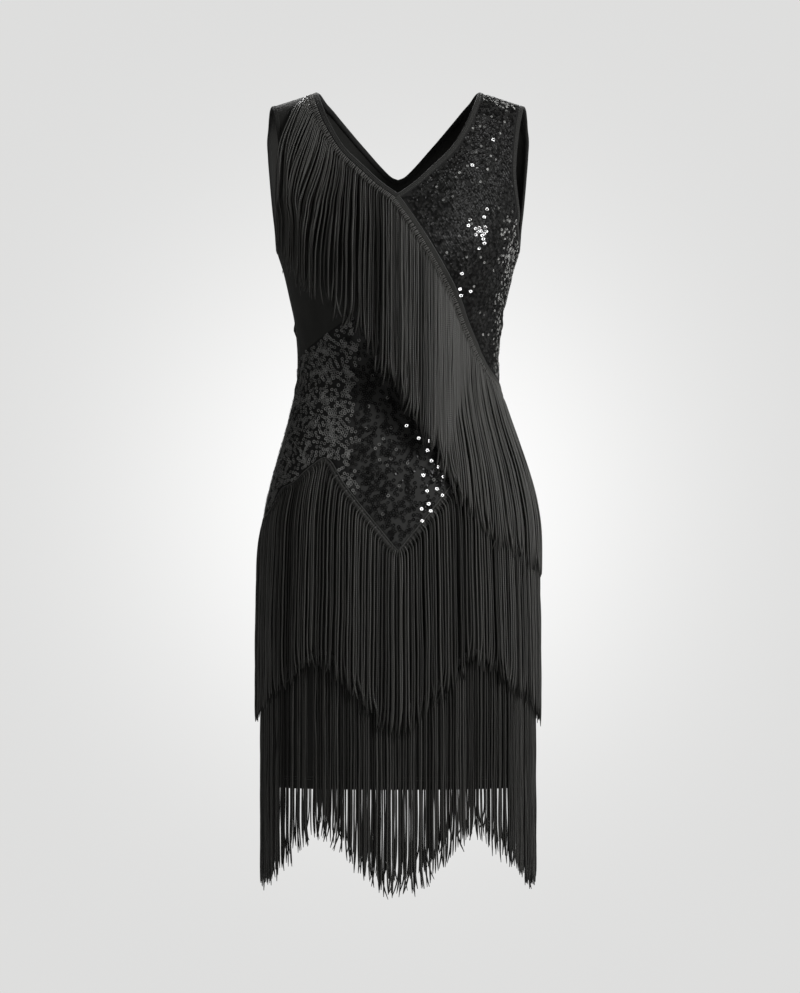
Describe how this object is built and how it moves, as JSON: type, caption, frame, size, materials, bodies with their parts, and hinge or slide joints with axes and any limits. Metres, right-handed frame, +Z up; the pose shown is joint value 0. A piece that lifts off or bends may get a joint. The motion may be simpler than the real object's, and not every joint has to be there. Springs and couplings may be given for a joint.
{
  "type": "fringe cocktail dress",
  "caption": "Sleeveless V-neck cocktail dress in worn form, with sequinned panels, a diagonal fringe across the front and two zigzag tiers of fringe round the skirt.",
  "frame": {"origin": "midway between the two shoulder seams, where the wearer's shoulders hold the dress", "axes": "+Z up along the wearer, -Y towards the front, +X towards the wearer's left"},
  "size_m": [0.3338, 0.2516, 0.9365],
  "materials": {
    "sequin_upper": "black mesh knit covered with small glossy ring sequins",
    "sequin_midriff": "black mesh knit with ring sequins in meandering clusters",
    "plain_knit": "matt black stretch knit",
    "skirt_knit": "matt black stretch knit",
    "binding": "black knit binding with twin-needle ridges",
    "tape": "black ridged tape",
    "fringe": "satin black twisted cord fringe on a knitted header"
  },
  "bodies": {
    "root": {"bodice_front_left": "sequin_upper", "bodice_front_right": "plain_knit", "midriff_front": "sequin_midriff", "skirt_front": "skirt_knit", "bodice_back": "plain_knit", "skirt_back": "skirt_knit", "neck_binding": "binding", "armhole_binding_left": "binding", "armhole_binding_right": "binding", "diagonal_tape": "tape", "fringe_tier_1": "fringe", "fringe_tier_2_front": "fringe", "fringe_tier_2_back": "fringe", "fringe_tier_3_front": "fringe", "fringe_tier_3_back": "fringe"}
  },
  "joints": []
}
